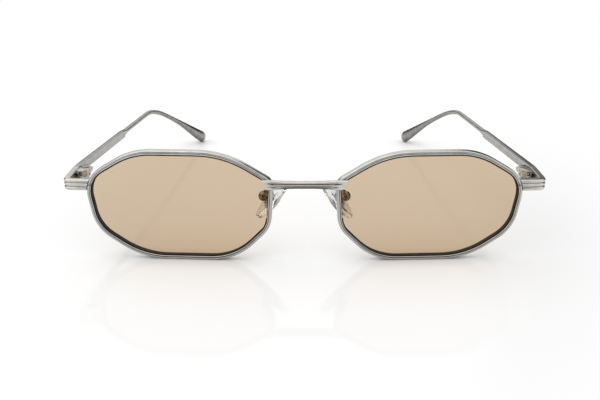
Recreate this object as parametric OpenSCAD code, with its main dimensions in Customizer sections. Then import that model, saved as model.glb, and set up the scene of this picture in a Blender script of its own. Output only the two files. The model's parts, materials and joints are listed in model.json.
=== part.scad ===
// Geometric metal sunglasses: eight-sided rims, tinted lenses, folding temples and silicone nose pads.
// X runs from left to right as seen from the front, Y from the front to the back, Z up.
// The right-hand pieces are drawn, and the left-hand ones are their mirror images.
// The glasses stand on the flat lower sides of the rims and on the two temple tips.

/* [Rims] */
// Gap between the two rims at their inner corners
rim_gap = 18.2; // [15:0.1:22]
// Height of a rim
rim_h = 33.6; // [31:0.1:37]
// Length of the upper side between its corners
top_side = 27.1; // [24:0.1:29]
// Distance from the inner corner to the start of the upper side
top_inset = 14.3; // [12.5:0.1:16]
// Length of the lower side between its corners
bottom_side = 28.2; // [25:0.1:30]
// Distance from the inner corner to the start of the lower side
bottom_inset = 11.4; // [10:0.1:13]
// Height of the inner upper corner
inner_top_z = 24.8; // [23:0.1:27]
// Height of the inner lower corner
inner_low_z = 10.4; // [9:0.1:12]
// Distance by which the inner lower corner lies further out
inner_lean = 0.9; // [0:0.1:2]
// Height of the outer upper corner
outer_top_z = 24.8; // [23.5:0.1:27]
// Height of the outer lower corner
outer_low_z = 9.1; // [8:0.1:11]
// Distance by which the outer lower corner lies further in
outer_lean = 2.7; // [1:0.1:4]
// Depth of a rim from front to back
rim_depth = 2.6; // [2.4:0.05:3.2]
// Width of the rim's front face
rim_face = 1.2; // [1:0.05:1.5]
// Width of the saw cut that opens the rim for its lens
rim_cut = 0.15; // [0.1:0.01:0.3]
// Angle by which each rim turns back towards its temple
wrap = 3.5; // [2:0.1:6]

/* [Lenses] */
// Thickness of a lens
lens_t = 1.8; // [1.6:0.05:2.1]
// Height of the bevel that holds the lens in its rim
lens_bevel = 0.55; // [0.4:0.01:0.65]
// Play between the lens and its rim
lens_play = 0.05; // [0.02:0.01:0.1]
// Radius of the lens's front surface
lens_curve_r = 350; // [260:5:500]

/* [Bridge] */
// Height of the bridge's middle
bridge_h = 2.05; // [1.8:0.05:2.5]
// Height of the bridge's soldered ends
bridge_end_h = 3; // [2.8:0.05:3.4]
// Height of the bridge's centre line above the resting plane
bridge_z = 24; // [23.6:0.05:24.4]
// Thickness of the bridge over the rims
bridge_t = 1.3; // [1:0.05:1.6]
// Distance by which the bridge's middle is thicker at the back
bridge_swell = 0.3; // [0.1:0.05:0.8]
// Distance from the inner corner of the rim to the bridge's end
bridge_lap = 2.4; // [1.9:0.05:2.8]

/* [End pieces] */
// Width of the frame across its end pieces
front_w = 144.8; // [140:0.1:150]
// Distance by which the end piece stands out past the rim
end_reach = 7; // [6:0.1:8.5]
// Height of the end piece's lower edge above the resting plane
end_low_z = 20.95; // [20.6:0.05:21.3]
// Height of the end piece
end_h = 3.35; // [3.1:0.05:3.7]
// Thickness of the end piece where it meets the rim
end_t_in = 1.3; // [1.1:0.05:1.5]
// Thickness of the end piece from its corner to the hinge
end_t = 1.9; // [1.6:0.05:2.1]
// Radius of the end piece's corner
corner_r = 3; // [2.4:0.05:3.6]
// Distance from the rim's front to the hinge
leg_len = 14.9; // [13:0.1:17]
// Angle by which the front of the end piece runs back
end_sweep = 5; // [2:0.5:8]
// Angle by which the end piece's leg runs outwards
leg_splay = 3.5; // [2:0.5:5]
// Depth of the grooves between the three ridges
groove_d = 0.28; // [0.15:0.01:0.35]

/* [Hinges] */
// Height of a hinge
hinge_h = 2.8; // [2.6:0.05:3]
// Thickness of the tongue in the middle
tongue_t = 1.2; // [1:0.05:1.4]
// Radius of the barrel round the hinge screw
barrel_r = 1.35; // [1.25:0.01:1.5]
// Distance from the end piece's inner face to the hinge axis
hinge_reach = 2.05; // [1.9:0.05:2.4]
// Length of the bracket and of the tongue along the metal that carries them
hinge_leaf = 4.2; // [3.8:0.1:4.8]
// Radius of the hinge screw
hinge_screw_r = 0.68; // [0.6:0.01:0.75]
// Radial clearance of a screw in its bore
bore_play = 0.04; // [0.02:0.01:0.06]
// Clearance on each side of the tongue
tongue_play = 0.05; // [0.03:0.01:0.1]

/* [Temples] */
// Length of a temple from the hinge to its tip, measured through the bend
temple_len = 140; // [130:1:150]
// Distance from the hinge to the bend
bend_at = 93.5; // [88:0.5:98]
// Length of the flat blade behind the hinge
blade_len = 49; // [42:0.5:56]
// Thickness of the blade
blade_t = 1.9; // [1.6:0.05:2.1]
// Height of the blade
blade_h = 2.65; // [2.4:0.05:3]
// Diameter of the wire between the blade and the tip
wire_d = 1.8; // [1.5:0.05:2]
// Radius of the bend
bend_r = 36; // [25:0.5:45]
// Height of the paddle tip
tip_h = 5.2; // [4.4:0.1:5.8]
// Thickness of the paddle tip
tip_t = 3; // [2.4:0.1:3.4]
// Angle by which the blade leans inwards
temple_lean = 3.7; // [3:0.1:4.5]
// Angle by which the tip leans inwards
tip_lean = 24; // [20:0.5:27]

/* [Closing blocks] */
// Height of each closing block
block_h = 1.45; // [1.3:0.05:1.6]
// Depth of the closing blocks from front to back
block_d = 1.9; // [1.7:0.05:2.2]
// Length of the closing blocks out from the rim
block_len = 2.7; // [2.5:0.05:3]
// Radius of the closing screw
closing_screw_r = 0.55; // [0.45:0.01:0.6]

/* [Nose pads] */
// Length of a nose pad
pad_len = 14; // [12.5:0.1:15]
// Width of a nose pad
pad_w = 7; // [6.2:0.1:7.8]
// Thickness of a nose pad
pad_t = 2; // [1.9:0.05:2.4]
// Distance from the rim's inner corner out to the pad's pivot
pad_out = 3.2; // [2.7:0.1:3.7]
// Distance from the lens's centre plane back to the pad's pivot
pad_back = 7.4; // [7:0.1:8.4]
// Height of the pad's pivot
pad_z = 17.8; // [17:0.1:18.6]
// Angle of the pad from upright, seen from the front
pad_frontal = 34; // [30:1:38]
// Angle by which the pad turns to face the nose
pad_turn = 80; // [74:1:84]
// Diameter of the pad arm's wire
arm_d = 1; // [0.8:0.05:1.1]
// Radius of the pad box
box_r = 1.6; // [1.5:0.01:1.75]
// Radius of the pad screw
pad_screw_r = 0.38; // [0.32:0.01:0.42]

/* [Hidden] */

$fn = 48;
seam = 0.03;
arc_steps = 8;
solder = 0.03;

// Corners of the rim's outer edge, anticlockwise as seen from the front, and the radius of each
corner_x = rim_gap / 2;
rim_w = front_w / 2 - corner_x - end_reach;
lens_x = corner_x + rim_w / 2;
lens_z = rim_h / 2;
corners = [
    [corner_x + top_inset, rim_h], [corner_x, inner_top_z],
    [corner_x + inner_lean, inner_low_z], [corner_x + bottom_inset, 0],
    [corner_x + bottom_inset + bottom_side, 0], [corner_x + rim_w - outer_lean, outer_low_z],
    [corner_x + rim_w, outer_top_z], [corner_x + top_inset + top_side, rim_h]];
corner_radii = [30, 4, 8, 20, 25, 12, 9, 22];

function side_normal(a, b) = [b.y - a.y, a.x - b.x] / norm(b - a);

// The rounded corner at b between a and c: points [x, y, normal x, normal y] along its arc, which
// takes up less than half of either side
arc_share = 0.49;
function corner_arc(a, b, c, r, steps) =
    let (
        m = side_normal(a, b),
        n = side_normal(b, c),
        turn = acos(m * n),
        reach = min(r * tan(turn / 2), norm(b - a) * arc_share, norm(c - b) * arc_share),
        arc_r = reach / tan(turn / 2),
        centre = b - (m + n) * arc_r / (1 + m * n),
        start = atan2(m.y, m.x)
    )
    [for (k = [0:steps]) let (t = start + turn * k / steps)
        [centre.x + arc_r * cos(t), centre.y + arc_r * sin(t), cos(t), sin(t)]];

outline = [for (i = [0:7])
    each corner_arc(corners[(i + 7) % 8], corners[i], corners[(i + 1) % 8], corner_radii[i], arc_steps)];

// Where the outer side of the rim passes the height z
function outer_x(z) =
    [for (i = [0:len(outline) - 2])
        let (p = outline[i], q = outline[i + 1])
        if (p.x > lens_x && p.y <= z && q.y > z)
            p.x + (q.x - p.x) * (z - p.y) / (q.y - p.y)][0];

// Where the inner side of the rim passes the height z
function inner_x(z) =
    [for (i = [0:len(outline) - 2])
        let (p = outline[i], q = outline[i + 1])
        if (p.x < lens_x && p.y > z && q.y <= z)
            p.x + (q.x - p.x) * (z - p.y) / (q.y - p.y)][0];

// How far the curved front surface lies behind its middle
function sag(x, z) = (pow(x - lens_x, 2) + pow(z - lens_z, 2)) / (2 * lens_curve_r);

// A point of the rim or lens: x and z in its own flat outline, and its depth behind the front surface
function on_rim(x, z, depth) =
    let (out = x - lens_x, back = depth + sag(x, z))
    [lens_x + out * cos(wrap) - back * sin(wrap), out * sin(wrap) + back * cos(wrap), z];

// Solid through a list of rings, each a closed loop with the same number of points. Each end is closed
// by a fan about its middle, which can be given where the end is curved
module skin(rings, loop = false, start_middle = undef) {
    count = len(rings[0]);
    last = len(rings) - 1;
    means = [for (r = [rings[0], rings[last]]) [for (k = [0:2]) sum([for (p = r) p[k]]) / count]];
    middles = [start_middle == undef ? means[0] : start_middle, means[1]];
    points = [for (r = rings) each r];
    walls = [for (i = [0:loop ? last : last - 1], j = [0:count - 1])
        let (
            a = i * count + j,
            b = i * count + (j + 1) % count,
            c = ((i + 1) % (last + 1)) * count + (j + 1) % count,
            d = ((i + 1) % (last + 1)) * count + j
        )
        each [[a, b, c], [a, c, d]]];
    ends = loop ? [] : [for (j = [0:count - 1])
        each [[(j + 1) % count, j, len(points)],
              [last * count + j, last * count + (j + 1) % count, len(points) + 1]]];
    polyhedron(concat(points, loop ? [] : middles), concat(walls, ends), convexity = 10);
}

function sum(v, i = 0) = i < len(v) ? v[i] + sum(v, i + 1) : 0;
function mix(a, b, t) = a + (b - a) * t;
function ease(t) = t <= 0 ? 0 : t >= 1 ? 1 : t * t * (3 - 2 * t);

// Turns plan coordinates about the lens's middle, as the rim is turned
module turned_with_rim() {
    translate([lens_x, 0, 0]) rotate([0, 0, wrap]) translate([-lens_x, 0, 0]) children();
}

// Rim: section [inwards from the outer edge, depth], with its face groove and the channel for the lens
groove_mid = rim_depth / 2;
channel_half = lens_bevel + lens_play;
face_line = rim_face * 0.68;
rim_section = [
    [0, 0.4], [0.14, 0.12], [0.32, 0.02], [face_line - 0.1, 0.04], [face_line, 0.22], [face_line + 0.1, 0.06],
    [rim_face - 0.1, 0], [rim_face, 0.12],
    [rim_face, groove_mid - channel_half], [rim_face - channel_half, groove_mid],
    [rim_face, groove_mid + channel_half],
    [rim_face, rim_depth - 0.12], [rim_face - 0.12, rim_depth], [0.3, rim_depth], [0, rim_depth - 0.3]];

cut_z = end_low_z + end_h / 2;

module rim() {
    color([0.72, 0.71, 0.69])
    difference() {
        skin([for (p = outline) [for (q = rim_section)
            on_rim(p.x - q.x * p[2], p.y - q.x * p[3], q.y)]], loop = true);
        turned_with_rim()
        translate([outer_x(cut_z) - rim_face - 0.5, -1, cut_z - rim_cut / 2])
            cube([rim_face + 1.5, rim_depth + 5, rim_cut]);
    }
}

// Lens: its edge follows the rim's channel, a play further in
lens_front = groove_mid - lens_t / 2;
lens_edge = rim_face + lens_play;
lens_section = [
    [lens_edge + 0.12, lens_front], [lens_edge, lens_front + 0.1], [lens_edge, groove_mid - lens_bevel],
    [lens_edge - lens_bevel, groove_mid], [lens_edge, groove_mid + lens_bevel],
    [lens_edge, lens_front + lens_t - 0.1], [lens_edge + 0.12, lens_front + lens_t]];
lens_rings = [0.08, 0.38, 0.7];

function lens_ring(share, depth) = [for (p = outline)
    let (x = p.x - lens_section[0].x * p[2], z = p.y - lens_section[0].x * p[3])
    on_rim(mix(lens_x, x, share), mix(lens_z, z, share), depth)];

module lens() {
    color([0.83, 0.74, 0.66, 0.6])
    skin(concat(
        [for (f = lens_rings) lens_ring(f, lens_front)],
        [for (q = lens_section) [for (p = outline) on_rim(p.x - q.x * p[2], p.y - q.x * p[3], q.y)]],
        [for (i = [len(lens_rings) - 1:-1:0]) lens_ring(lens_rings[i], lens_front + lens_t)]));
}

// Section of a bar with three ridges: [depth behind its face, height], for a bar of this height,
// thickness and groove depth
ridge_pts = [[-1, 1], [-0.6, 0.25], [0, 0], [0.6, 0.25], [1, 1]];
edge_soft = 0.15;
function ridged(h, t, groove) =
    let (half = h / 6 - 0.03, top = h / 3 + half)
    concat(
        [for (i = [-1:1], q = ridge_pts)
            let (outside = i * q.x == 1)
            [outside ? groove_d : q.y * groove, i * h / 3 + q.x * half]],
        [[t / 2, top], [t - edge_soft, top], [t, top - edge_soft], [t, 0],
         [t, edge_soft - top], [t - edge_soft, -top], [t / 2, -top]]);

// Bridge: it lies on the front of both rims, and its ends are cut along the rims' openings
bridge_end_x = corner_x + bridge_lap;
bridge_cut = 0.62;
bridge_back = min([for (z = [-0.5, 0.5]) let (h = bridge_z + z * bridge_end_h)
    on_rim(bridge_end_x + z * bridge_end_h * bridge_cut, h, 0).y]) - solder;
bridge_front = bridge_back - bridge_t;
bridge_shares = [-1, -0.96, -0.88, -0.78, -0.66, -0.5, -0.25, 0, 0.25, 0.5, 0.66, 0.78, 0.88, 0.96, 1];

module bridge() {
    color([0.78, 0.77, 0.74])
    skin([for (s = bridge_shares)
        let (
            out = abs(s),
            h = mix(bridge_h, bridge_end_h, ease((out - 0.3) / 0.7)),
            swell = bridge_swell * (1 - ease((out * bridge_end_x - corner_x + 3) / 2)),
            groove = groove_d * (1 - ease((out - 0.7) / 0.24)),
            bar = ridged(h, bridge_t, groove)
        )
        [for (q = bar)
            [s * (bridge_end_x + pow(out, 6) * q.y * bridge_cut),
             bridge_front + q.x + (q.x >= bridge_t / 2 ? swell : 0),
             bridge_z + q.y]]]);
}

// End piece: it starts on the rim's outer wall, turns the corner and runs back to the hinge
end_gap = 2 * solder;
end_start = on_rim(outer_x(cut_z) + end_gap, cut_z, 0);
hinge_y = end_start.y + leg_len;
leg_run = tan(leg_splay);
sweep_run = tan(end_sweep);
knee_x = (front_w / 2 - leg_run * (hinge_y - end_start.y) - leg_run * sweep_run * end_start.x)
    / (1 - leg_run * sweep_run);
knee = [knee_x, end_start.y + (knee_x - end_start.x) * sweep_run];
leg_end = [front_w / 2, hinge_y - seam];
corner_path = corner_arc([end_start.x, end_start.y], knee, leg_end, corner_r, arc_steps);
end_path = concat(
    [[end_start.x, end_start.y, corner_path[0][2], corner_path[0][3]]],
    corner_path,
    [[leg_end.x, leg_end.y, 1, 0]]);

module end_piece() {
    last = len(end_path) - 1;
    color([0.75, 0.74, 0.71])
    skin([for (i = [0:last])
        let (
            p = end_path[i],
            past_block = (p.x - end_start.x - block_len) / (knee.x - end_start.x - block_len),
            t = mix(end_t_in, end_t, ease(past_block))
        )
        [for (q = ridged(end_h, t, groove_d))
            let (z = cut_z + q.y)
            i == 0 ? on_rim(outer_x(z) + end_gap, z, q.x)
            : [p.x - q.x * p[2], p.y - q.x * p[3], z]]],
        start_middle = on_rim(outer_x(cut_z) + end_gap, cut_z, end_t_in / 2));
}

// Hinge: a bracket with two ears on the end piece, and a tongue on the temple between them
wall_x = front_w / 2 - end_t;
hinge_x = wall_x - hinge_reach;
hinge_z = cut_z;
slot_h = tongue_t + 2 * tongue_play;
bore_r = hinge_screw_r + bore_play;

// A leaf of the hinge in plan, running forwards from the axis along the wall that carries it
module leaf_plan(run) {
    wall = hinge_reach - solder;
    circle(r = barrel_r);
    polygon([[-barrel_r + 0.01, 0], [-barrel_r + 0.01, 1 - hinge_leaf], [0, -hinge_leaf],
        [wall - run * hinge_leaf, -hinge_leaf], [wall - run * 0.15, -0.15], [barrel_r / 2, 0]]);
}

module hinge_bracket() {
    web_back = barrel_r + 0.25;
    window = 1.1;
    color([0.66, 0.65, 0.62])
    translate([hinge_x, hinge_y, hinge_z])
    difference() {
        translate([0, 0, -hinge_h / 2]) linear_extrude(hinge_h) leaf_plan(leg_run);
        translate([-barrel_r - 1, -web_back, -slot_h / 2])
            cube([2 * barrel_r + hinge_reach + 2, web_back + barrel_r + 1, slot_h]);
        translate([hinge_reach - window, -hinge_leaf - 1, -slot_h / 2])
            cube([window + 1, hinge_leaf + 2, slot_h]);
        translate([0, 0, -hinge_h]) cylinder(r = bore_r, h = 2 * hinge_h);
    }
}

module hinge_tongue() {
    color([0.7, 0.69, 0.66])
    translate([hinge_x, hinge_y, hinge_z - tongue_t / 2])
    difference() {
        mirror([0, 1, 0]) linear_extrude(tongue_t) leaf_plan(tan(temple_lean));
        translate([0, 0, -1]) cylinder(r = bore_r, h = tongue_t + 2);
    }
}

// A small cheese-headed screw, its head on top, from z = 0 under the head down to -length
module small_screw(shank_r, head_r, head_h, length) {
    slot_w = head_r * 0.3;
    difference() {
        union() {
            cylinder(r = head_r, h = head_h);
            translate([0, 0, -length]) cylinder(r = shank_r, h = length + head_h / 2);
        }
        translate([-head_r - 1, -slot_w / 2, head_h * 0.55]) cube([2 * head_r + 2, slot_w, head_h]);
    }
}

module hinge_screw() {
    color([0.6, 0.59, 0.57])
    translate([hinge_x, hinge_y, hinge_z + hinge_h / 2 + solder])
        small_screw(hinge_screw_r, barrel_r - 0.2, 0.4, hinge_h + solder);
}

// Temple: its centre line runs back at wire_z, bends down and ends in a paddle on the resting plane. The
// paddle's upper edge runs on straight from the wire, and its lower edge flares
wire_r = wire_d / 2;
blade_step = 0.1;
wire_z = end_low_z + end_h - blade_step - wire_r;
temple_x = front_w / 2 - blade_t / 2;
cap_len = 3;
tip_len = temple_len - bend_at;
paddle = tip_len - cap_len;
tip_mid = wire_r - tip_h / 2;
function tip_drop(guess) = asin(max(0.05, min(0.9,
    (wire_z + tip_mid * cos(guess) - norm([cap_len * sin(guess), tip_h / 2 * cos(guess)])) / paddle)));
drop = tip_drop(tip_drop(tip_drop(27)));
along = [-sin(temple_lean), cos(temple_lean), 0];
along_tip = [-sin(tip_lean) * cos(drop), cos(tip_lean) * cos(drop), -sin(drop)];
temple_start = [temple_x, hinge_y + seam, wire_z];
bend_point = temple_start + bend_at * along;
bend_turn = acos(along * along_tip);
bend_reach = bend_r * tan(bend_turn / 2);
bend_side = let (v = along_tip - (along_tip * along) * along) v / norm(v);

function temple_dir(turn) = cos(turn) * along + sin(turn) * bend_side;

// Each station: distance, top and bottom from the centre line, thickness, roundness and groove
top_0 = wire_r + blade_step;
low_0 = top_0 - end_h;
blade_low = top_0 - blade_h;
fairing = 7;
taper_len = 6;
straight_stations = [
    [0, top_0, low_0, blade_t, 0, groove_d],
    [fairing * 0.5, top_0, mix(low_0, blade_low, 0.6), blade_t, 0, groove_d],
    [fairing, top_0, blade_low, blade_t, 0, groove_d],
    [blade_len - 2, top_0, blade_low, blade_t, 0, groove_d],
    [blade_len - 0.3, top_0, mix(blade_low, -wire_r, 0.1), blade_t, 0.1, groove_d * 0.5],
    [blade_len + 0.3, wire_r, mix(blade_low, -wire_r, 0.35), mix(blade_t, wire_d, 0.5), 0.5, 0.08],
    [blade_len + taper_len / 2, wire_r, mix(blade_low, -wire_r, 0.8), wire_d, 0.85, 0.03],
    [blade_len + taper_len, wire_r, -wire_r, wire_d, 1, 0],
    [bend_at - bend_reach - 6, wire_r, -wire_r, wire_d, 1, 0]];
bend_steps = 10;
bend_stations = [for (k = [0:bend_steps]) let (t = bend_turn * k / bend_steps)
    [bend_point - bend_reach * along + bend_r * (sin(t) * along + (1 - cos(t)) * bend_side), temple_dir(t)]];
// Each station: share of the way from the bend to the cap, and share of the paddle's size
tip_stations = [[0.15, 0.02], [0.34, 0.12], [0.51, 0.32], [0.68, 0.58], [0.85, 0.85], [1, 1]];
cap_angles = [25, 48, 68, 84];

round_angles = concat([for (j = [0:14]) 12 * j - 84], [for (k = [0:6]) 105 + 25 * k]);

// One ring of the temple: place, direction, top, bottom, thickness, roundness, groove
function temple_ring(place, dir, top, low, t, roundness, groove) =
    let (
        right = let (v = [dir.y, -dir.x, 0]) v / norm(v),
        up = cross(right, dir),
        bar = ridged(top - low, t, groove),
        mid = (top + low) / 2
    )
    [for (j = [0:len(bar) - 1])
        let (
            flat_x = t / 2 - bar[j].x,
            flat_z = bar[j].y,
            round_x = t / 2 * cos(round_angles[j]),
            round_z = (top - low) / 2 * sin(round_angles[j])
        )
        place + right * mix(flat_x, round_x, roundness) + up * (mid + mix(flat_z, round_z, roundness))];

module temple() {
    start_ring = let (s = straight_stations[0])
        [for (p = temple_ring(temple_start, along, s[1], s[2], s[3], s[4], s[5]))
            p + along * (temple_start.y - p.y) / along.y];
    color([0.7, 0.69, 0.67])
    skin(concat(
        [start_ring],
        [for (i = [1:len(straight_stations) - 1]) let (s = straight_stations[i])
            temple_ring(temple_start + s[0] * along, along, s[1], s[2], s[3], s[4], s[5])],
        [for (s = bend_stations) temple_ring(s[0], s[1], wire_r, -wire_r, wire_d, 1, 0)],
        [for (s = tip_stations)
            temple_ring(bend_point + mix(bend_reach, paddle, s[0]) * along_tip, along_tip,
                wire_r, wire_r - mix(wire_d, tip_h, s[1]), mix(wire_d, tip_t, s[1]), 1, 0)],
        [for (a = cap_angles)
            temple_ring(bend_point + (paddle + cap_len * sin(a)) * along_tip, along_tip,
                tip_mid + tip_h / 2 * cos(a), tip_mid - tip_h / 2 * cos(a), tip_t * cos(a), 1, 0)]));
}

// Closing blocks: one above and one below the rim's cut, behind the end piece
block_gap = 0.25;
block_y = sag(outer_x(cut_z), cut_z) + end_t_in + block_gap;
block_screw_share = 0.58;
block_screw_x = outer_x(cut_z) + block_len * block_screw_share;

module closing_block(low_z, high_z) {
    edge = [for (p = outline) if (p.x > lens_x && p.y > low_z && p.y < high_z) [p.x + solder, p.y]];
    color([0.68, 0.67, 0.64])
    turned_with_rim()
    difference() {
        translate([0, block_y + block_d, 0]) rotate([90, 0, 0]) linear_extrude(block_d)
            polygon(concat([[outer_x(low_z) + solder, low_z]], edge, [[outer_x(high_z) + solder, high_z],
                [outer_x(cut_z) + block_len, high_z], [outer_x(cut_z) + block_len, low_z]]));
        translate([block_screw_x, block_y + block_d / 2, low_z - 1])
            cylinder(r = closing_screw_r + bore_play, h = high_z - low_z + 2);
    }
}

module closing_block_upper() closing_block(cut_z + rim_cut / 2, cut_z + rim_cut / 2 + block_h);
module closing_block_lower() closing_block(cut_z - rim_cut / 2 - block_h, cut_z - rim_cut / 2);

module closing_screw() {
    color([0.6, 0.59, 0.57])
    turned_with_rim()
    translate([block_screw_x, block_y + block_d / 2, cut_z - rim_cut / 2 - block_h - solder])
    mirror([0, 0, 1])
        small_screw(closing_screw_r, closing_screw_r + 0.35, 0.4, 2 * block_h + rim_cut + solder);
}

// Nose pads: everything from the box on is drawn about the pivot, y towards the nose and z up the pad
pad_pivot = [corner_x + pad_out, pad_back, pad_z];
box_front = 0.9;
box_cut = 0.62;
box_middle = box_front - box_r * box_cut;
box_back = box_r - box_middle;
box_angles = [-asin(box_cut), -25, -12, 0, 15, 30, 45, 60, 75, 90];
pocket_w = 1.4;
pocket_h = 2.4;
stem_r = 0.75;
stem_w = pocket_w - 0.2;
pad_gap = 0.7;
pad_low = box_front + pad_gap;

module at_pad() {
    translate(pad_pivot) rotate([0, -pad_frontal, 0]) rotate([0, 0, pad_turn]) children();
}

// A direction of the pad's own frame, in the frame of the glasses
function pad_to_frame(v) =
    let (x = v.x * cos(pad_turn) - v.y * sin(pad_turn), y = v.x * sin(pad_turn) + v.y * cos(pad_turn))
    [x * cos(pad_frontal) - v.z * sin(pad_frontal), y, x * sin(pad_frontal) + v.z * cos(pad_frontal)];

module pad_box() {
    color([0.74, 0.69, 0.58])
    at_pad()
    difference() {
        rotate([-90, 0, 0]) rotate_extrude()
            polygon(concat([[0, box_front]],
                [for (a = box_angles) [box_r * cos(a), box_middle - box_r * sin(a)]]));
        translate([-pocket_w / 2, -stem_r - 0.15, -pocket_h / 2])
            cube([pocket_w, 2 * box_r, pocket_h]);
        translate([-box_r - 1, 0, 0]) rotate([0, 90, 0])
            cylinder(r = pad_screw_r + bore_play, h = 2 * box_r + 2);
        translate([box_r * 0.8, 0, 0]) rotate([0, 90, 0])
            cylinder(r = pad_screw_r + 0.3, h = box_r);
    }
}

module pad_screw() {
    color([0.6, 0.57, 0.5])
    at_pad()
    translate([box_r * 0.8 + solder, 0, 0]) rotate([0, 90, 0])
        small_screw(pad_screw_r, pad_screw_r + 0.22, 0.4, box_r * 1.6);
}

module core_body(grow) {
    plate = [3 + 2 * grow, 0.5 + 2 * grow, 4.6 + 2 * grow];
    translate([-plate.x / 2, pad_low + 0.7 - grow, -plate.z / 2]) cube(plate);
    translate([-stem_w / 2 - grow, 0, -stem_r * 0.8 - grow])
        cube([stem_w + 2 * grow, pad_low + 0.9, stem_r * 1.6 + 2 * grow]);
}

module pad_core() {
    color([0.78, 0.76, 0.72])
    at_pad()
    difference() {
        union() {
            core_body(0);
            translate([-stem_w / 2, 0, 0]) rotate([0, 90, 0]) cylinder(r = stem_r, h = stem_w);
        }
        translate([-stem_w, 0, 0]) rotate([0, 90, 0])
            cylinder(r = pad_screw_r + bore_play, h = 2 * stem_w);
    }
}

// Rings of the pad: share of its outline, and height through its thickness
pad_rings = [
    [0.1, 0.02], [0.62, 0], [0.9, 0.08], [1, 0.35],
    [0.97, 0.6], [0.8, 0.86], [0.45, 0.98], [0.1, 1]];
pad_points = 24;
pad_taper = 0.18;

module nose_pad() {
    color([0.92, 0.93, 0.95, 0.5])
    at_pad()
    difference() {
        skin([for (r = pad_rings) [for (k = [0:pad_points - 1]) let (a = 360 * k / pad_points)
            [r.x * pad_w / 2 * cos(a) * (1 - pad_taper * sin(a)), pad_low + r.y * pad_t,
             r.x * pad_len / 2 * sin(a)]]]);
        core_body(solder);
    }
}

// Pad arm: a wire from the rim's inner wall, back and round into the back of the pad box
arm_z = pad_z + 1.2;
arm_foot = on_rim(inner_x(arm_z) - arm_d / 2 - 2 * solder, arm_z, rim_depth * 0.4);
arm_end = pad_pivot + pad_to_frame([0, -box_back - 7 * solder, 0]);
arm_lead = pad_to_frame([0, -1, 0]);
arm_route = [
    arm_foot,
    arm_foot + [-0.05, rim_depth * 0.55, 0],
    arm_foot + [0.7, rim_depth * 0.55 + 1.1, 0.3],
    mix(arm_foot, arm_end + arm_lead * 2.4, 0.45) + [0, 0.3, 0.9],
    arm_end + arm_lead * 1.5 + [0, -1.2, 0],
    arm_end];
arm_sides = 8;

// Smooth curve through the route's points
function spline(p, i, t) =
    let (
        a = p[max(i - 1, 0)], b = p[i], c = p[i + 1], d = p[min(i + 2, len(p) - 1)]
    )
    0.5 * (2 * b + (c - a) * t + (2 * a - 5 * b + 4 * c - d) * t * t + (3 * b - a - 3 * c + d) * t * t * t);
arm_steps = 4;
arm_line = concat(
    [for (i = [0:len(arm_route) - 2], k = [0:arm_steps - 1]) spline(arm_route, i, k / arm_steps)],
    [arm_end]);

module pad_arm() {
    last = len(arm_line) - 1;
    color([0.72, 0.7, 0.66])
    skin([for (i = [0:last])
        let (
            dir = let (v = arm_line[min(i + 1, last)] - arm_line[max(i - 1, 0)]) v / norm(v),
            side = let (v = cross(dir, [0, 0, 1])) v / norm(v),
            up = cross(side, dir)
        )
        [for (k = [0:arm_sides - 1]) let (a = 360 * (k + 0.5) / arm_sides)
            arm_line[i] + arm_d / 2 * (cos(a) * side + sin(a) * up)]]);
}

// The origin lies on the resting plane, in the middle of the glasses' length and width
back_y = bend_point.y + (paddle + cap_len) * along_tip.y;
middle_y = (bridge_front + back_y) / 2;

module right_hand() translate([0, -middle_y, 0]) children();
module left_hand() translate([0, -middle_y, 0]) mirror([1, 0, 0]) children();

left_hand() rim();  // rim_left
right_hand() rim();  // rim_right
left_hand() lens();  // lens_left
right_hand() lens();  // lens_right
right_hand() bridge();
left_hand() end_piece();  // end_piece_left
right_hand() end_piece();  // end_piece_right
left_hand() closing_block_upper();  // closing_block_upper_left
right_hand() closing_block_upper();  // closing_block_upper_right
left_hand() closing_block_lower();  // closing_block_lower_left
right_hand() closing_block_lower();  // closing_block_lower_right
left_hand() closing_screw();  // closing_screw_left
right_hand() closing_screw();  // closing_screw_right
left_hand() hinge_bracket();  // hinge_bracket_left
right_hand() hinge_bracket();  // hinge_bracket_right
left_hand() hinge_tongue();  // hinge_tongue_left
right_hand() hinge_tongue();  // hinge_tongue_right
left_hand() hinge_screw();  // hinge_screw_left
right_hand() hinge_screw();  // hinge_screw_right
left_hand() temple();  // temple_left
right_hand() temple();  // temple_right
left_hand() pad_arm();  // pad_arm_left
right_hand() pad_arm();  // pad_arm_right
left_hand() pad_box();  // pad_box_left
right_hand() pad_box();  // pad_box_right
left_hand() pad_screw();  // pad_screw_left
right_hand() pad_screw();  // pad_screw_right
left_hand() pad_core();  // pad_core_left
right_hand() pad_core();  // pad_core_right
left_hand() nose_pad();  // nose_pad_left
right_hand() nose_pad();  // nose_pad_right
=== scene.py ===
import json
import math

import bmesh
import bpy
from mathutils import Matrix, Vector


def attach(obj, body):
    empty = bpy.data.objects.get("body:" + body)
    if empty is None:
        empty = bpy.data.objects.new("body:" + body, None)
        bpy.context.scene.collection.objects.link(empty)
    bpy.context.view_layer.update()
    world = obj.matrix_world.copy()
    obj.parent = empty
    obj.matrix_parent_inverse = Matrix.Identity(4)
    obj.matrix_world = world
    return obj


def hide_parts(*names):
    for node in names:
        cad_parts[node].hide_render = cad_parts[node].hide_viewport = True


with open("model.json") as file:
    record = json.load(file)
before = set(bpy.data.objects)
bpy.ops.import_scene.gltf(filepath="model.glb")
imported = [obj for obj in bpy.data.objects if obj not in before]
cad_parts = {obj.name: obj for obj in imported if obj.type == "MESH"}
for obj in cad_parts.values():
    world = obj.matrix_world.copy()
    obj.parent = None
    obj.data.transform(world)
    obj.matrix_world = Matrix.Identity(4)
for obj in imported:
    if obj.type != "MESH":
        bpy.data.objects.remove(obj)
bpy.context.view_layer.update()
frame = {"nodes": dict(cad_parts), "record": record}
print("frame loaded:", len(frame["nodes"]), "nodes")

scene = bpy.context.scene
mm = 0.001
sides = {"left": -1, "right": 1}

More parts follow.
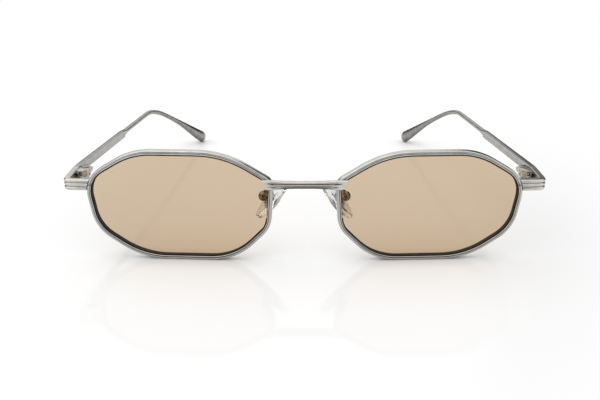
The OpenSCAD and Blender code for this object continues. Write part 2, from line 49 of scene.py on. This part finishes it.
# The photograph's view
cameraLook = {
    "place": (-0.93, -275.66, 87.05),  # mm
    "pitch": 18.6,  # degrees below level
    "turn": 0.12,  # degrees to the left
    "lens": 43.8,  # mm
    "sensor": 36,  # mm wide
    "nearest": 10,  # mm, what is closer doesn't show
}


def makeCamera(look):
    data = bpy.data.cameras.new("camera")
    data.lens = look["lens"]
    data.sensor_width = look["sensor"]
    data.clip_start = look["nearest"] * mm
    camera = bpy.data.objects.new("camera", data)
    camera.location = Vector(look["place"]) * mm
    camera.rotation_euler = (math.radians(90 - look["pitch"]), 0, math.radians(look["turn"]))
    scene.collection.objects.link(camera)
    scene.camera = camera


makeCamera(cameraLook)


def hexColour(code):
    # sRGB hex, as a colour picker shows it, to the linear colour that shaders take.
    # The numbers are those of the sRGB standard
    parts = [int(code[i:i + 2], 16) / 255 for i in (1, 3, 5)]
    return tuple(c / 12.92 if c <= 0.04045 else ((c + 0.055) / 1.055) ** 2.4 for c in parts) + (1,)


pureWhite = hexColour("#FFFFFF")


def addNode(tree, kind, settings, links=()):
    # settings are the node's sockets or fields, links are (socket, other node, its output)
    node = tree.nodes.new("ShaderNode" + kind)
    for name, value in settings.items():
        if name == "stops":
            for i, (place, code) in enumerate(value):
                stop = node.color_ramp.elements[i] if i < 2 else node.color_ramp.elements.new(place)
                stop.position, stop.color = place, hexColour(code)
        elif isinstance(name, int) or name in node.inputs:
            node.inputs[name].default_value = value
        else:
            setattr(node, name, value)
    for name, other, output in links:
        tree.links.new(other.outputs[output], node.inputs[name])
    return node


def newMaterial(name):
    material = bpy.data.materials.new(name)
    material.use_nodes = True
    material.node_tree.nodes.clear()
    return material, material.node_tree


# Light: a white gloss table in a white room, and a softbox above on the left
studio = {
    "softbox": {"place": (-420, -160, 800), "size": (2000, 1500), "power": 4.0},  # mm and watts
    "room": 0.8,  # daylight of the white room, on what doesn't mirror it
    "tableTone": "#F1F1F1",
    "tableGloss": 0.09,  # how much of what falls on it the table mirrors
    "tableRough": 0.08,
    "tableLift": (0.145, 0.17),  # white that only the camera, metal and glass see, in front and behind
    "tableReach": (-0.05, 0.06),  # metres, from the one to the other
    "contactShadowReach": 0.008,  # metres round what stands on the table, in which that white is taken away: a painted contact shadow
    "openness": (0.5, 1),  # how open the table is there, with none of that white and with all of it
    "shadeSamples": 6,
    "plainWhite": (0.09, 0.19),  # metres from the middle, where the table turns to the backdrop's white,
    "oval": (1.3, 1, 1),  # in an oval that is this much shorter across
    "tableHalf": 3,  # metres
}

# Grey cards round the table, which only metal and glass see: they give the metal its dark lines.
# Turn is in degrees from straight behind to the right, sizes are in mm, soft is the share that fades
# at the sides and at the top and bottom
cards = {
    "behind": {
        "turn": 0, "away": 1050, "width": 1500, "low": 0, "high": 480,
        "tone": "#DEDEDE", "soft": (0.15, 0.25)},
    "behind low": {
        "turn": 0, "away": 1000, "width": 1700, "low": -60, "high": 210,
        "tone": "#2E2E2E", "soft": (0.2, 0.25)},
    "right": {
        "turn": 54, "away": 640, "width": 1000, "low": -100, "high": 850,
        "tone": "#424242", "soft": (0.2, 0.2)},
    "left": {
        "turn": -60, "away": 640, "width": 600, "low": -100, "high": 500,
        "tone": "#8A8A8A", "soft": (0.2, 0.25)},
    "front": {
        "turn": 180, "away": 900, "width": 1500, "low": 20, "high": 700,
        "tone": "#9A9A9A", "soft": (0.2, 0.15)},
}


def seenDirectly(tree):
    # 1 for what the camera sees, straight, mirrored or through glass
    ray = addNode(tree, "LightPath", {})
    straight = addNode(tree, "Math", {"operation": "MAXIMUM"}, [
        (0, ray, "Is Camera Ray"), (1, ray, "Is Glossy Ray")])
    return addNode(tree, "Math", {"operation": "MAXIMUM"}, [
        (0, straight, 0), (1, ray, "Is Transmission Ray")])


def lightRoom(look):
    lamp = bpy.data.lights.new("softbox", "AREA")
    lamp.shape = "RECTANGLE"
    lamp.size, lamp.size_y = (v * mm for v in look["softbox"]["size"])
    lamp.energy = look["softbox"]["power"]
    softbox = bpy.data.objects.new("softbox", lamp)
    softbox.location = Vector(look["softbox"]["place"]) * mm
    softbox.rotation_euler = softbox.location.to_track_quat("Z", "Y").to_euler()
    scene.collection.objects.link(softbox)

    world = bpy.data.worlds.new("white room")
    world.use_nodes = True
    tree = world.node_tree
    tree.nodes.clear()
    room = addNode(tree, "Background", {"Color": pureWhite, "Strength": look["room"]})
    backdrop = addNode(tree, "Background", {"Color": pureWhite, "Strength": 1})
    shown = addNode(tree, "MixShader", {}, [(0, seenDirectly(tree), 0), (1, room, 0), (2, backdrop, 0)])
    addNode(tree, "OutputWorld", {}, [("Surface", shown, 0)])
    scene.world = world


def showStage(bm, name, material):
    mesh = bpy.data.meshes.new(name)
    bm.to_mesh(mesh)
    bm.free()
    mesh.materials.append(material)
    thing = bpy.data.objects.new(name, mesh)
    scene.collection.objects.link(thing)
    return thing


def makeTable(look):
    material, tree = newMaterial("white gloss table")
    paint = addNode(tree, "BsdfDiffuse", {"Color": hexColour(look["tableTone"])})
    gloss = addNode(tree, "BsdfGlossy", {"Color": pureWhite, "Roughness": look["tableRough"]})
    surface = addNode(tree, "MixShader", {0: look["tableGloss"]}, [(1, paint, 0), (2, gloss, 0)])
    place = addNode(tree, "TexCoord", {})
    split = addNode(tree, "SeparateXYZ", {}, [("Vector", place, "Object")])
    lift = addNode(tree, "MapRange", {
        "interpolation_type": "SMOOTHSTEP",
        "From Min": look["tableReach"][0], "From Max": look["tableReach"][1],
        "To Min": look["tableLift"][0], "To Max": look["tableLift"][1]}, [("Value", split, "Y")])
    direct = seenDirectly(tree)
    # painted contact shadow: the white lift fades out close to what stands on the table
    shade = addNode(tree, "AmbientOcclusion", {"samples": look["shadeSamples"], "Distance": look["contactShadowReach"]})
    uncovered = addNode(tree, "MapRange", {
        "From Min": look["openness"][0], "From Max": look["openness"][1]}, [("Value", shade, "AO")])
    lifted = addNode(tree, "Math", {"operation": "MULTIPLY"}, [
        (0, lift, "Result"), (1, uncovered, "Result")])
    seen = addNode(tree, "Math", {"operation": "MULTIPLY"}, [(0, direct, 0), (1, lifted, 0)])
    glow = addNode(tree, "Emission", {"Color": pureWhite}, [("Strength", seen, 0)])
    near = addNode(tree, "AddShader", {}, [(0, surface, 0), (1, glow, 0)])
    plain = addNode(tree, "Emission", {"Color": pureWhite, "Strength": 1})
    oval = addNode(tree, "Mapping", {"Scale": look["oval"]}, [("Vector", place, "Object")])
    off = addNode(tree, "VectorMath", {"operation": "LENGTH"}, [(0, oval, 0)])
    far = addNode(tree, "MapRange", {
        "interpolation_type": "SMOOTHSTEP",
        "From Min": look["plainWhite"][0], "From Max": look["plainWhite"][1]}, [("Value", off, "Value")])
    share = addNode(tree, "Math", {"operation": "MULTIPLY"}, [(0, direct, 0), (1, far, "Result")])
    both = addNode(tree, "MixShader", {}, [(0, share, 0), (1, near, 0), (2, plain, 0)])
    addNode(tree, "OutputMaterial", {}, [("Surface", both, 0)])

    bm = bmesh.new()
    bmesh.ops.create_grid(bm, x_segments=1, y_segments=1, size=look["tableHalf"])
    showStage(bm, "table", material)


def makeCard(name, look):
    # a square metre of paper, stood up and stretched to its size, which fades out towards its edges,
    # so that nothing mirrors a hard edge
    half = 0.5
    material, tree = newMaterial(f"{name} card")
    paper = addNode(tree, "Emission", {"Color": hexColour(look["tone"]), "Strength": 1})
    clear = addNode(tree, "BsdfTransparent", {"Color": pureWhite})
    place = addNode(tree, "TexCoord", {})
    split = addNode(tree, "SeparateXYZ", {}, [("Vector", place, "Object")])
    shares = []
    for axis, soft in zip(("X", "Y"), look["soft"]):
        away = addNode(tree, "Math", {"operation": "ABSOLUTE"}, [(0, split, axis)])
        shares.append(addNode(tree, "MapRange", {
            "interpolation_type": "SMOOTHSTEP", "From Min": half, "From Max": half - soft},
            [("Value", away, 0)]))
    cover = addNode(tree, "Math", {"operation": "MULTIPLY"}, [
        (0, shares[0], "Result"), (1, shares[1], "Result")])
    both = addNode(tree, "MixShader", {}, [(0, cover, 0), (1, clear, 0), (2, paper, 0)])
    addNode(tree, "OutputMaterial", {}, [("Surface", both, 0)])
    bm = bmesh.new()
    bmesh.ops.create_grid(bm, x_segments=1, y_segments=1, size=half)
    card = showStage(bm, f"{name} card".replace(" ", "_"), material)
    tall = look["high"] - look["low"]
    stretch = Matrix.Diagonal((look["width"] * mm, tall * mm, 1, 1))
    stand = Matrix.Rotation(math.radians(90), 4, "X") @ stretch
    push = Matrix.Translation(Vector((0, look["away"], look["low"] + tall / 2)) * mm)
    card.matrix_world = Matrix.Rotation(-math.radians(look["turn"]), 4, "Z") @ push @ stand
    card.visible_camera = card.visible_diffuse = card.visible_shadow = False


lightRoom(studio)
makeTable(studio)
for name, look in cards.items():
    makeCard(name, look)
scene.view_settings.view_transform = "Standard"
print("room lit")

# Finishes. Grain and mottling are sizes on the metal in mm, and bump is the grain's height in mm.
# The grain of the real plating is finer still, and is drawn coarse enough to show close up
metalLooks = {
    # Nickel silver wire, tumbled and plated satin pewter: soft highlights, oxide left dark in its grooves
    "satin pewter plating": {
        "light": "#CECCC8", "dark": "#C2C0BB", "oxideAndShade": "#2A2622",
        "roughness": (0.18, 0.25), "grain": 0.12, "bump": 0.001, "mottling": 2.5},
    # The same plating on the temples, brushed along them, in a copy painted a little darker: painted shade
    "shaded pewter plating": {
        "light": "#AEACA8", "dark": "#9C9A95", "oxideAndShade": "#2A2622",
        "roughness": (0.18, 0.25), "grain": 0.12, "bump": 0.001, "mottling": 2.5},
    # The same plating on the end pieces, in a copy painted lighter: painted highlight
    "lit pewter plating": {
        "light": "#DBD8D3", "dark": "#CDCAC4", "oxideAndShade": "#2A2622",
        "roughness": (0.16, 0.24), "grain": 0.12, "bump": 0.001, "mottling": 2.5},
    # Painted shade inside the rims: the walls that face the lens, painted brown-black for the shadow in the
    # lens channel
    "rim channel shade": {
        "light": "#241B15", "dark": "#15100C", "oxideAndShade": "#0E0A08",
        "roughness": (0.35, 0.5), "grain": 0.1, "bump": 0.001, "mottling": 0.6},
    # Milled nickel silver under the same plating, a little rougher
    "milled nickel silver": {
        "light": "#D6D2CA", "dark": "#B2ADA4", "oxideAndShade": "#2C2620",
        "roughness": (0.3, 0.42), "grain": 0.1, "bump": 0.002, "mottling": 1.2},
    # Turned steel screws: brighter, smooth, with a dark slot
    "turned steel": {
        "light": "#C9C7C2", "dark": "#B0AEA9", "oxideAndShade": "#25211D",
        "roughness": (0.16, 0.26), "grain": 0.08, "bump": 0.001, "mottling": 0.8},
    # Polished pad boxes and arms, with the warm cast of thin plating over brass, mottled sharply into dark
    # and light patches: painted dark reflection and painted highlights
    "polished brass-cast plating": {
        "light": "#AD9B6E", "dark": "#2B2318", "oxideAndShade": "#1A140D", "spread": 0.05,
        "roughness": (0.04, 0.08), "grain": 0.15, "bump": 0.0008, "mottling": 1.1},
}

# What a metal has unless its own look says otherwise
metalShared = {
    "spread": 0.15,  # how far from the middle of the mottling its dark and its light are reached
    "mottlingDetail": 3,
    "bumpStrength": 0.4,
}
fineDetail = 2  # layers of noise in a grain


def metalFinish(name):
    look = {**metalShared, **metalLooks[name]}
    dark, light = 0.5 - look["spread"], 0.5 + look["spread"]
    material, tree = newMaterial(name)
    place = addNode(tree, "TexCoord", {})
    mottling = addNode(tree, "TexNoise", {
        "Scale": 1 / (look["mottling"] * mm), "Detail": look["mottlingDetail"]},
        [("Vector", place, "Object")])
    plating = addNode(tree, "ValToRGB", {"stops": [(dark, look["dark"]), (light, look["light"])]},
                      [("Fac", mottling, "Fac")])
    # the grooves' oxide, together with the painted shade and painted light laid on the mesh
    patinaAndShade = addNode(tree, "Attribute", {"attribute_name": "patinaAndShade"})
    colour = addNode(tree, "MixRGB", {"Color2": hexColour(look["oxideAndShade"])},
                     [("Fac", patinaAndShade, "Fac"), ("Color1", plating, "Color")])
    grain = addNode(tree, "TexNoise", {"Scale": 1 / (look["grain"] * mm), "Detail": fineDetail},
                    [("Vector", place, "Object")])
    roughness = addNode(tree, "MapRange", {
        "To Min": look["roughness"][0], "To Max": look["roughness"][1]}, [("Value", mottling, "Fac")])
    bump = addNode(tree, "Bump", {"Strength": look["bumpStrength"], "Distance": look["bump"] * mm},
                   [("Height", grain, "Fac")])
    metal = addNode(tree, "BsdfPrincipled", {"Metallic": 1}, [
        ("Base Color", colour, "Color"), ("Roughness", roughness, "Result"), ("Normal", bump, "Normal")])
    addNode(tree, "OutputMaterial", {}, [("Surface", metal, "BSDF")])
    return material


# Cast lens resin, dyed light brown and hard coated: a clean tan, glossier where it is seen at a slant
lensLook = {
    "tint": "#E7DBCC",  # what one surface lets through, so the lens passes its square
    "gloss": 1.3,  # index of refraction, less than the resin's own because of the antireflection coat
    "roughness": 0.02,
    "edge": ("#160D07", "#2B1D12"),  # the lens edge and a strip inside the rim, painted dark brown: painted shade for the shadow in the channel and the light lost inside the dyed resin
    "edgeRoughness": 0.5,
    "grit": 0.3,  # mm, the patches that grinding leaves on the bevel
    "gritSpread": (0.3, 0.7),  # where in their noise its dark and its light are reached
    "ring": 0.2,  # mm, the strip of the lens's face inside the rim that is painted dark with the edge
    "noseSide": (13.5, 15),  # mm, that strip is clear closer to the middle than the one and above the other
    "facing": 0.9,  # how squarely a face of the lens looks forwards or backwards, if it isn't its edge
    "smooth": 25,  # degrees up to which two faces shade as one
}


def lensFinish(look):
    material, tree = newMaterial("dyed lens resin")
    dye = addNode(tree, "BsdfTransparent", {"Color": hexColour(look["tint"])})
    shine = addNode(tree, "BsdfGlossy", {"Color": pureWhite, "Roughness": look["roughness"]})
    facing = addNode(tree, "Fresnel", {"IOR": look["gloss"]})
    side = addNode(tree, "NewGeometry", {})
    outside = addNode(tree, "Math", {"operation": "SUBTRACT", 0: 1}, [(1, side, "Backfacing")])
    gloss = addNode(tree, "Math", {"operation": "MULTIPLY"}, [(0, facing, 0), (1, outside, 0)])
    both = addNode(tree, "MixShader", {}, [(0, gloss, 0), (1, dye, 0), (2, shine, 0)])
    addNode(tree, "OutputMaterial", {}, [("Surface", both, 0)])
    return material


def lensEdgeFinish(look):
    (dark, darkTone), (light, lightTone) = zip(look["gritSpread"], look["edge"])
    material, tree = newMaterial("lens edge shade")
    place = addNode(tree, "TexCoord", {})
    grit = addNode(tree, "TexNoise", {"Scale": 1 / (look["grit"] * mm), "Detail": fineDetail},
                   [("Vector", place, "Object")])
    tone = addNode(tree, "ValToRGB", {"stops": [(dark, darkTone), (light, lightTone)]},
                   [("Fac", grit, "Fac")])
    ground = addNode(tree, "BsdfPrincipled", {"Roughness": look["edgeRoughness"]},
                     [("Base Color", tone, "Color")])
    addNode(tree, "OutputMaterial", {}, [("Surface", ground, "BSDF")])
    return material


# Clear silicone, moulded in a polished tool: bright rims of light and what lies behind, a little veiled
padLook = {
    "tone": "#F4F6F8",
    "index": 1.41,
    "roughness": (0.036, 0.096),
    "clear": 0.92,  # how much of the light goes through, the rest scatters as milky haze
    "cloud": 2,  # mm, the patches in which its roughness varies
}


def siliconeFinish(look):
    material, tree = newMaterial("clear moulded silicone")
    place = addNode(tree, "TexCoord", {})
    cloud = addNode(tree, "TexNoise", {"Scale": 1 / (look["cloud"] * mm), "Detail": fineDetail},
                    [("Vector", place, "Object")])
    rough = addNode(tree, "MapRange", {"To Min": look["roughness"][0], "To Max": look["roughness"][1]},
                    [("Value", cloud, "Fac")])
    rubber = addNode(tree, "BsdfPrincipled", {
        "Base Color": hexColour(look["tone"]), "IOR": look["index"], "Transmission Weight": look["clear"]},
        [("Roughness", rough, "Result")])
    film = addNode(tree, "BsdfTransparent", {"Color": hexColour(look["tone"])})
    ray = addNode(tree, "LightPath", {})
    both = addNode(tree, "MixShader", {}, [(0, ray, "Is Shadow Ray"), (1, rubber, 0), (2, film, 0)])
    addNode(tree, "OutputMaterial", {}, [("Surface", both, 0)])
    return material


pewter = metalFinish("satin pewter plating")
shadedPewter = metalFinish("shaded pewter plating")
litPewter = metalFinish("lit pewter plating")
channelShade = metalFinish("rim channel shade")
milled = metalFinish("milled nickel silver")
steel = metalFinish("turned steel")
brassy = metalFinish("polished brass-cast plating")
dyedLens = lensFinish(lensLook)
lensEdgeShade = lensEdgeFinish(lensLook)
silicone = siliconeFinish(padLook)
print("finishes mixed")

weldWithin = 0.002  # mm, points that are closer than this are one


def mergedCopy(node):
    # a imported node's triangles welded into one skin, to be finished and shown in its place
    bm = bmesh.new()
    bm.from_mesh(frame["nodes"][node].data)
    bmesh.ops.remove_doubles(bm, verts=bm.verts, dist=weldWithin * mm)
    return bm


# Where oxide is left in the grooves and where shade and light are painted, each from where it begins to where
# it is whole.
# Up is how far a surface looks upwards, from -1 for straight down to 1 for straight up
patinaAndShadeLook = {
    "fold": 40,  # degrees by which the metal folds inwards in the bottom of a groove
    "underUp": (0.3, -0.7),
    "frontIn": (1.6, 2.6),  # mm inwards from the outer end
    "bellyAcross": (9, 5),  # mm from the middle of the bridge
    "bellyDown": (0, 1 / 3),  # share of the height, downwards from its middle
    "bellyGroove": 0.6,  # what is left in the grooves of a belly's lower half
    "paddleBack": (50, 62),  # mm behind the middle
    "paddleUp": (-0.1, 0.3),
}


def ramp(value, begins, whole):
    # 0 up to where it begins, 1 from where it is whole, and straight between them
    return min(1, max(0, (value - begins) / (whole - begins)))


def markPatinaAndShade(bm, reach, under=0, belly=0, topGrooveLight=0, frontGrooveLight=0, paddle=0):
    # oxide is left in the bottom of each groove and comes up its sides for reach mm. Painted shade is laid on
    # faces that look downwards and in the lower middle of a belly. The shares for the top and the front paint
    # the grooves lighter towards the top and away from the outer end, and paddle is painted shade on a
    # paddle's upper side
    look = patinaAndShadeLook
    bm.normal_update()
    patinaAndShade = bm.verts.layers.float.new("patinaAndShade")
    heights = [v.co.z for v in bm.verts]
    low, tall = min(heights), max(heights) - min(heights)
    outer = max(abs(v.co.x) for v in bm.verts)
    fold = -math.radians(look["fold"])
    deep = {v for v in bm.verts if min(e.calc_face_angle_signed(0) for e in v.link_edges) < fold}
    for vert in bm.verts:
        across, back, up = abs(vert.co.x), vert.co.y / mm, vert.normal.z
        down = 0.5 - (vert.co.z - low) / tall
        near = [e.calc_length() for e in vert.link_edges if e.other_vert(vert) in deep]
        groove = 1.0 if vert in deep else max(0, 1 - min(near) / (reach * mm)) if near else 0
        groove *= 1 - topGrooveLight * (0.5 - down)
        groove *= 1 - frontGrooveLight * ramp((outer - across) / mm, *look["frontIn"])
        if belly and down > 0:
            groove *= look["bellyGroove"]
        underside = under * ramp(up, *look["underUp"])
        bulge = belly * ramp(down, *look["bellyDown"]) * ramp(across / mm, *look["bellyAcross"])
        paddleShading = paddle * ramp(back, *look["paddleBack"]) * ramp(up, *look["paddleUp"])
        vert[patinaAndShade] = max(groove, underside, bulge, paddleShading)


# Worked edges, in degrees: faces that turn less than flat are made one, and edges that turn more than sharp
# are rounded, so that they catch the light
edgeLook = {"flat": 1, "sharp": 35, "segments": 2}


def softenEdges(bm, width, look):
    flat, sharp = math.radians(look["flat"]), math.radians(look["sharp"])
    bmesh.ops.dissolve_limit(bm, angle_limit=flat, verts=bm.verts, edges=bm.edges)
    edges = [e for e in bm.edges if e.is_manifold and e.calc_face_angle_signed() > sharp]
    bmesh.ops.bevel(bm, geom=edges, offset=width * mm, offset_type="OFFSET", affect="EDGES",
                    segments=look["segments"], profile=0.5, material=-1, clamp_overlap=True)


def showPiece(bm, name, body, node, finishes, smooth):
    # smooth is the angle in degrees up to which two faces shade as one
    mesh = bpy.data.meshes.new(name)
    bm.to_mesh(mesh)
    bm.free()
    if "custom_normal" in mesh.attributes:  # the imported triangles' own, which no longer fit
        mesh.attributes.remove(mesh.attributes["custom_normal"])
    for finish in finishes:
        mesh.materials.append(finish)
    mesh.shade_smooth()
    mesh.set_sharp_from_angle(angle=math.radians(smooth))
    piece = bpy.data.objects.new(name, mesh)
    scene.collection.objects.link(piece)
    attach(piece, body)
    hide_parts(node)
    return piece


bodyOf = {node: body for body, nodes in frame["record"]["behaviour"]["bodies"].items() for node in nodes}

# Swept wire: rims, bridge, end pieces and temples, smooth along and sharp in their grooves
# The patina settings lay the grooves' oxide, painted shade underneath, in the bridge's belly and on the
# paddles, and painted light in the rims' top grooves and along the end pieces
sweptParts = {
    "rim": {"finish": pewter, "patinaAndShade": {"reach": 0.24, "under": 0.55, "topGrooveLight": 0.9}},
    "end_piece": {"finish": litPewter, "patinaAndShade": {"reach": 0.3, "under": 0.3, "frontGrooveLight": 0.45}},
    "bridge": {"finish": pewter, "patinaAndShade": {"reach": 0.42, "belly": 1.3}},
    "temple": {"finish": shadedPewter, "patinaAndShade": {"reach": 0.4, "under": 0.5, "paddle": 0.6}},
}
sweptSmooth = 42  # degrees

# The rims' inner walls: how little they look along the frame, and how much towards the middle of the lens
innerWall = {"along": 0.5, "inwards": 0.25}


def darkenInside(bm, look):
    # the walls that face the lens are painted dark: painted shade in the lens channel
    xs, zs = [v.co.x for v in bm.verts], [v.co.z for v in bm.verts]
    middle = Vector(((min(xs) + max(xs)) / 2, 0, (min(zs) + max(zs)) / 2))
    for face in bm.faces:
        inward = middle - face.calc_center_median()
        inward.y = 0
        inwards = face.normal.dot(inward.normalized())
        wall = abs(face.normal.y) < look["along"] and inwards > look["inwards"]
        face.material_index = 1 if wall else 0


def finishSwept(node, look):
    bm = mergedCopy(node)
    markPatinaAndShade(bm, **look["patinaAndShade"])
    finishes = [look["finish"]]
    if node.startswith("rim"):
        darkenInside(bm, innerWall)
        finishes.append(channelShade)
    showPiece(bm, f"{node}_satin", bodyOf[node], node, finishes, sweptSmooth)


for part, look in sweptParts.items():
    for node in ["bridge"] if part == "bridge" else [f"{part}_{side}" for side in sides]:
        finishSwept(node, look)
print("swept wire finished")


# Lenses: their curved faces are clear, and their edges and a thin strip inside the rim are painted dark, as
# painted shade
def finishLens(side, look):
    node = f"lens_{side}"
    bm = mergedCopy(node)
    front = [face for face in bm.faces if face.normal.y < -look["facing"]]
    bmesh.ops.inset_region(bm, faces=front, thickness=look["ring"] * mm, use_boundary=True,
                           use_even_offset=True)
    middle = set(front)
    across, up = (v * mm for v in look["noseSide"])
    for face in bm.faces:
        place = face.calc_center_median()
        noseSide = face.normal.y < -look["facing"] and abs(place.x) < across and place.z > up
        clear = face in middle or noseSide or face.normal.y > look["facing"]
        face.material_index = 0 if clear else 1
    finishes = [dyedLens, lensEdgeShade]
    showPiece(bm, f"{node}_tinted", bodyOf[node], node, finishes, look["smooth"])


for side in sides:
    finishLens(side, lensLook)
print("lenses finished")

# Small machined parts: node, finish, slot, width of the rounding in mm
machined = {
    "hinge_bracket": (milled, "hinge_metal", 0.08),
    "hinge_tongue": (milled, "hinge_metal", 0.08),
    "hinge_screw": (steel, "screw_steel", 0.04),
    "closing_block_upper": (pewter, "frame_metal", 0.08),
    "closing_block_lower": (pewter, "frame_metal", 0.08),
    "closing_screw": (steel, "screw_steel", 0.04),
    "pad_box": (brassy, "pad_metal", 0.03),
    "pad_screw": (steel, "screw_steel", 0.02),
    "pad_core": (steel, "pad_metal", 0.04),
}
# oxide in the grooves, and painted shade on faces that look downwards
machinedPatinaAndShade = {"reach": 0.2, "under": 0.3}
machinedSmooth = 40  # degrees

# A square socket on the front of each hinge bracket, in mm, its place on the right side
hingeSocket = {
    "place": (68.85, -60.17, 23.05),
    "size": (1.5, 0.6, 1.8),
    "wall": 0.36,
    "deep": 0.35,
    "slope": 0.05,  # by which the hole narrows on each side
    "rounding": 0.1,
}


def addSocket(bm, side, look):
    place = Vector(look["place"]) * mm
    place.x *= sides[side]
    stretch = Matrix.Diagonal((*(v * mm for v in look["size"]), 1))
    block = bmesh.ops.create_cube(bm, size=1, matrix=Matrix.Translation(place) @ stretch)["verts"]
    front = min({f for v in block for f in v.link_faces}, key=lambda f: f.calc_center_median().y)
    rim = front.edges[:]
    for inwards, depth in ((look["wall"], 0), (look["slope"], look["deep"])):
        bmesh.ops.inset_individual(bm, faces=[front], thickness=inwards * mm, depth=-depth * mm,
                                   use_even_offset=True)
    bmesh.ops.bevel(bm, geom=rim, offset=look["rounding"] * mm, offset_type="OFFSET", affect="EDGES",
                    segments=edgeLook["segments"], profile=0.5, material=-1)


def finishMachined(part, side, finish, width):
    node = f"{part}_{side}"
    bm = mergedCopy(node)
    softenEdges(bm, width, edgeLook)
    if part == "hinge_bracket":
        addSocket(bm, side, hingeSocket)
    markPatinaAndShade(bm, **machinedPatinaAndShade)
    showPiece(bm, f"{node}_finished", bodyOf[node], node, [finish], machinedSmooth)


for part, (finish, slot, width) in machined.items():
    for side in sides:
        finishMachined(part, side, finish, width)
print("machined parts finished")

# Nose pads: a flat back and a domed face towards the nose
pad = {
    "length": 14.4, "width": 7, "thick": 3,  # mm
    "standOff": 1.6,  # mm, from the screw to the pad's back
    "raise": 0.5,  # mm, how far its middle is above the screw
    "lean": 5,  # degrees by which its upper end leans towards the nose
    "taper": 0.18,  # the upper end is narrower
    # share of the outline and of the thickness, from the back to the domed face
    "profile": [
        (0.62, 0), (0.9, 0.03), (1, 0.2), (1, 0.42), (0.93, 0.68), (0.74, 0.88), (0.42, 0.98), (0.15, 1)],
    "points": 28,  # in each ring
    "rounding": 2,  # subdivisions
    "smooth": 180,  # degrees: no edge of it is sharp
}


def padPlace(side):
    # the pad's own axes about its screw: x along the screw, y towards the nose, z up the pad
    joint = next(j for j in frame["record"]["behaviour"]["joints"] if j["name"] == "pad_right_rock")
    screw = Vector(joint["axis"]).normalized()
    up = Vector((-screw.z, 0, screw.x)).normalized()
    turned = Matrix((screw, up.cross(screw), up)).transposed().to_4x4()
    return Matrix.Diagonal((sides[side], 1, 1, 1)) @ Matrix.Translation(joint["pos_m"]) @ turned


def mouldPad(side, look):
    # rings grown from the back to the domed face, in shares of its size, then sized, tapered and set in place
    bm = bmesh.new()
    bmesh.ops.create_circle(bm, cap_ends=False, segments=look["points"], radius=1,
                            matrix=Matrix.Rotation(math.radians(90), 4, "X"))
    back = ring = bm.edges[:]
    lastShare, lastDepth = 1, 0
    for share, depth in look["profile"]:
        if depth:
            grown = bmesh.ops.extrude_edge_only(bm, edges=ring)["geom"]
            ring = [e for e in grown if isinstance(e, bmesh.types.BMEdge)]
        grow = Matrix.Diagonal((share / lastShare, 1, share / lastShare, 1))
        step = Matrix.Translation((0, depth - lastDepth, 0)) @ grow
        bmesh.ops.transform(bm, verts=list({v for e in ring for v in e.verts}), matrix=step)
        lastShare, lastDepth = share, depth
    for ends in (back, ring):
        bmesh.ops.contextual_create(bm, geom=ends)
    for vert in bm.verts:
        vert.co.x *= 1 - look["taper"] * vert.co.z
    size = Matrix.Diagonal((look["width"] / 2 * mm, look["thick"] * mm, look["length"] / 2 * mm, 1))
    seat = Matrix.Rotation(math.radians(-look["lean"]), 4, "X") @ Matrix.Translation(
        Vector((0, look["standOff"], look["raise"])) * mm)
    bmesh.ops.transform(bm, verts=bm.verts, matrix=padPlace(side) @ seat @ size)
    bmesh.ops.recalc_face_normals(bm, faces=bm.faces)
    return bm


def finishPad(side, look):
    node = f"nose_pad_{side}"
    piece = showPiece(mouldPad(side, look), f"{node}_silicone", bodyOf[node], node,
                      [silicone], look["smooth"])
    rounded = piece.modifiers.new("rounded", "SUBSURF")
    rounded.levels = rounded.render_levels = look["rounding"]


for side in sides:
    finishPad(side, pad)
print("nose pads moulded")

# Pad arms: soldered to the rim's side towards the nose, bent back and round into the top of the pad box.
# The route is in mm from the pad's screw, on the right side, each point with its share of the wire's radius
padArm = {
    "radius": 0.5,
    "route": [
        ((-2.65, -6.3, 1.2), 1.5), ((-2.6, -5.4, 1.35), 1.15), ((-2.1, -4.4, 1.9), 1),
        ((-1.0, -3.3, 2.5), 1), ((-0.35, -2.3, 2.2), 1), ((-0.16, -1.3, 1.0), 1.1)],
    "roundness": 4,  # steps in a quarter of its section
    "steps": 10,  # between two points of the route
}


def bendArm(side, look):
    node = f"pad_arm_{side}"
    pivot = padPlace(side).translation
    wire = bpy.data.curves.new(f"{node}_wire", "CURVE")
    wire.dimensions = "3D"
    wire.bevel_depth = look["radius"] * mm
    wire.bevel_resolution = look["roundness"]
    wire.resolution_u = look["steps"]
    wire.use_fill_caps = True
    line = wire.splines.new("BEZIER")
    line.bezier_points.add(len(look["route"]) - 1)
    for point, (place, share) in zip(line.bezier_points, look["route"]):
        x, y, z = place
        point.co = pivot + Vector((sides[side] * x, y, z)) * mm
        point.handle_left_type = point.handle_right_type = "AUTO"
        point.radius = share
    wire.materials.append(brassy)
    arm = bpy.data.objects.new(f"{node}_wire", wire)
    scene.collection.objects.link(arm)
    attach(arm, "front")
    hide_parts(node)


for side in sides:
    bendArm(side, padArm)
print("pad arms bent")
